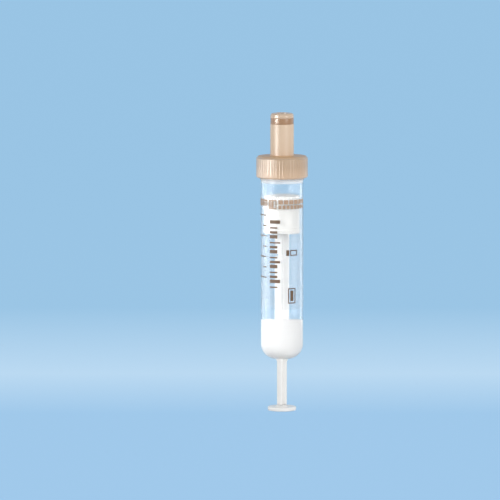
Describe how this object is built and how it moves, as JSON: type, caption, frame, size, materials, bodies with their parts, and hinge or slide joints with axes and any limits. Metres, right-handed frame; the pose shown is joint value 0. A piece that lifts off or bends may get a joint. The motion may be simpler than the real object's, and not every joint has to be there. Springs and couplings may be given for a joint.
{
  "type": "blood collection tube",
  "caption": "Slim clear tube with a ribbed screw cap and nipple on top, a pull-out plunger through its rounded base, white gel and a printed label.",
  "frame": {"origin": "centre of the thumb plate's underside, on the tube's axis", "axes": "+Z along the tube's axis from the thumb plate to the nipple's end; the print faces -Y"},
  "size_m": [0.0182, 0.0182, 0.1054],
  "materials": {
    "clear_plastic": "clear moulded polypropylene, glossy",
    "gel": "white opaque gel",
    "film": "clear label film",
    "print": "brown ink",
    "piston": "white moulded polyethylene",
    "rod": "milky white moulded plastic",
    "granulate": "white plastic beads",
    "cap": "beige moulded polyethylene, satin",
    "membrane": "brown rubber",
    "end_ring": "light beige moulded plastic"
  },
  "bodies": {
    "barrel": {"tube": "clear_plastic", "separating_gel": "gel", "label_film": "film", "label_print": "print"},
    "plunger": {"plunger_rod": "rod", "piston": "piston", "granulate": "granulate"},
    "cap_core": {"membrane": "membrane", "end_ring": "end_ring"},
    "cap": {"screw_cap": "cap"}
  },
  "joints": [
    {"name": "plunger_slide", "type": "slide", "parent": "plunger", "child": "barrel", "axis": [0, 0, 1], "range_m": [0, 0.0394], "deforming": ["separating_gel"]},
    {"name": "cap_lift", "type": "slide", "parent": "barrel", "child": "cap_core", "axis": [0, 0, 1], "range_m": [0, 0.00275]},
    {"name": "cap_turn", "type": "hinge", "parent": "cap_core", "child": "cap", "pos_m": [0, 0, 0.0882], "axis": [0, 0, 1], "range_deg": [0, 396]}
  ],
  "couplings": [
    {"joint": "cap_turn", "follows": "cap_lift", "rad_per_m": 2513.3}
  ]
}
